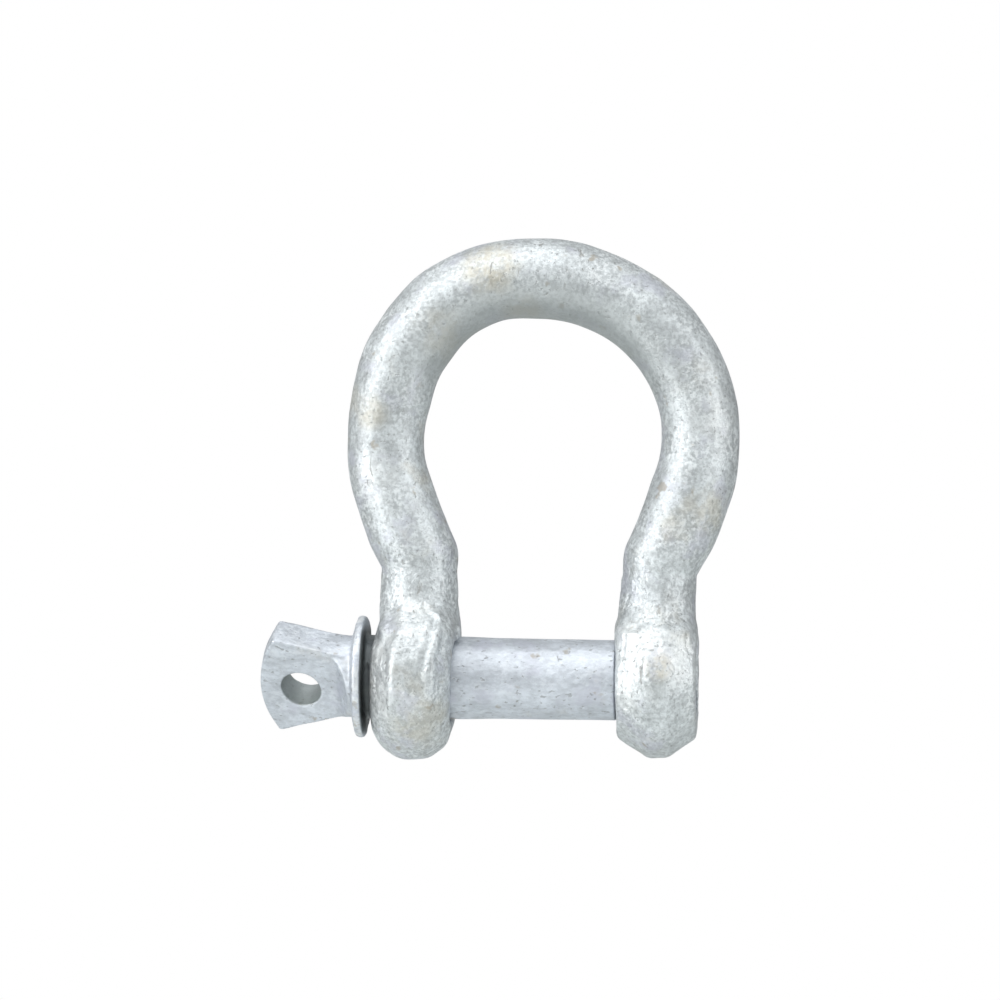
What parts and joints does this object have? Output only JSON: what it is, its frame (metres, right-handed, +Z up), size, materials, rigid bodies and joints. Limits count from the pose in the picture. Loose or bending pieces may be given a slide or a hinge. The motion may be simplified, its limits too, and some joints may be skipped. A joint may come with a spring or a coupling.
{
  "type": "bow shackle",
  "caption": "Galvanised forged bow shackle whose collared, right-hand threaded pin unscrews by its drilled eye and draws out of both ears.",
  "frame": {"origin": "on the pin's axis, midway between the inner faces of the two ears", "axes": "+X along the pin from its head to its threaded end, +Z up to the crown of the bow, -Y to the front"},
  "size_m": [0.0595, 0.0202, 0.0649],
  "materials": {
    "bow_zinc": "matte",
    "pin_zinc": "satin"
  },
  "bodies": {
    "bow": {"bow": "bow_zinc"},
    "collar": {"pin_collar": "pin_zinc"},
    "pin": {"screw_pin": "pin_zinc"}
  },
  "joints": [
    {"name": "pin_feed", "type": "slide", "parent": "bow", "child": "collar", "axis": [-1, 0, 0], "range_m": [-0.00095, 0.0525]},
    {"name": "pin_turn", "type": "hinge", "parent": "collar", "child": "pin", "pos_m": [0, 0, 0], "axis": [-1, 0, 0], "range_deg": [-228.5, 12600.5]}
  ],
  "couplings": [
    {"joint": "pin_turn", "follows": "pin_feed", "rad_per_m": 4188.8}
  ]
}
